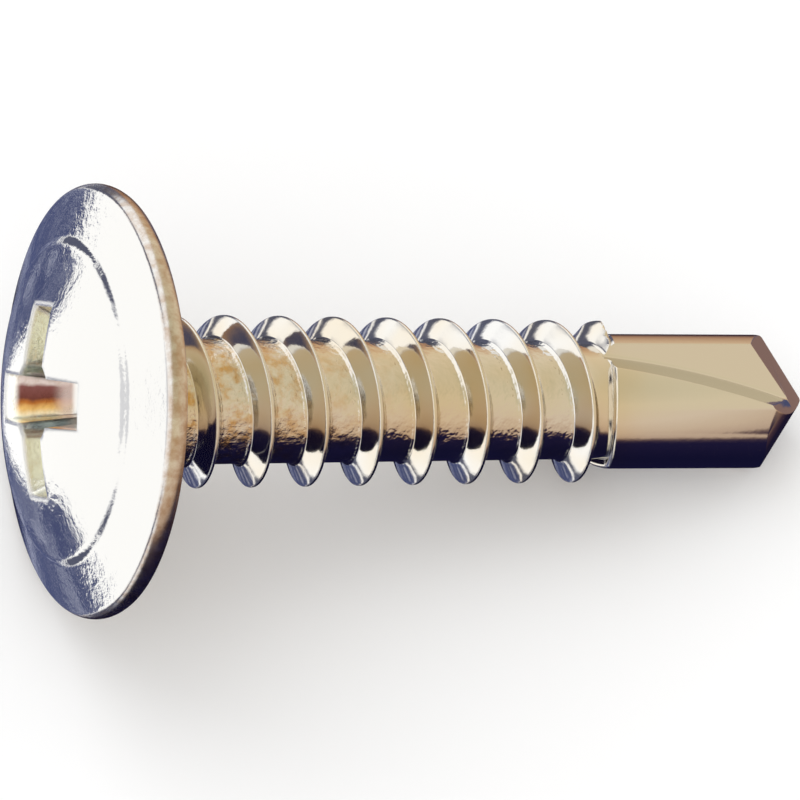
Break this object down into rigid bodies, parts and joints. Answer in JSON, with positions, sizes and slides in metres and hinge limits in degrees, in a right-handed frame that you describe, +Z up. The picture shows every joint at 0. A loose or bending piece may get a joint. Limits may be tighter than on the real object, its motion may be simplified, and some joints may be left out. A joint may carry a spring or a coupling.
{
  "type": "self_drilling_screw",
  "caption": "Zinc-plated self-drilling screw with a flanged low-dome head, cross recess, rolled thread along the whole shank and a forged drill point with flutes.",
  "frame": {"origin": "bottom centre of the bounding box, on the surface the screw lies on", "axes": "+X along the screw from head to point, which dips about 12 degrees towards the ground; +Z up; +Y to the left of +X. The screw rests on its rim and on the ends of both lands beside the lower flute."},
  "size_m": [0.02, 0.0102, 0.0099],
  "materials": {
    "zinc_plated_steel": "bright zinc electroplate on cold-forged and rolled carbon steel"
  },
  "bodies": {
    "root": {"screw": "zinc_plated_steel"}
  },
  "joints": []
}
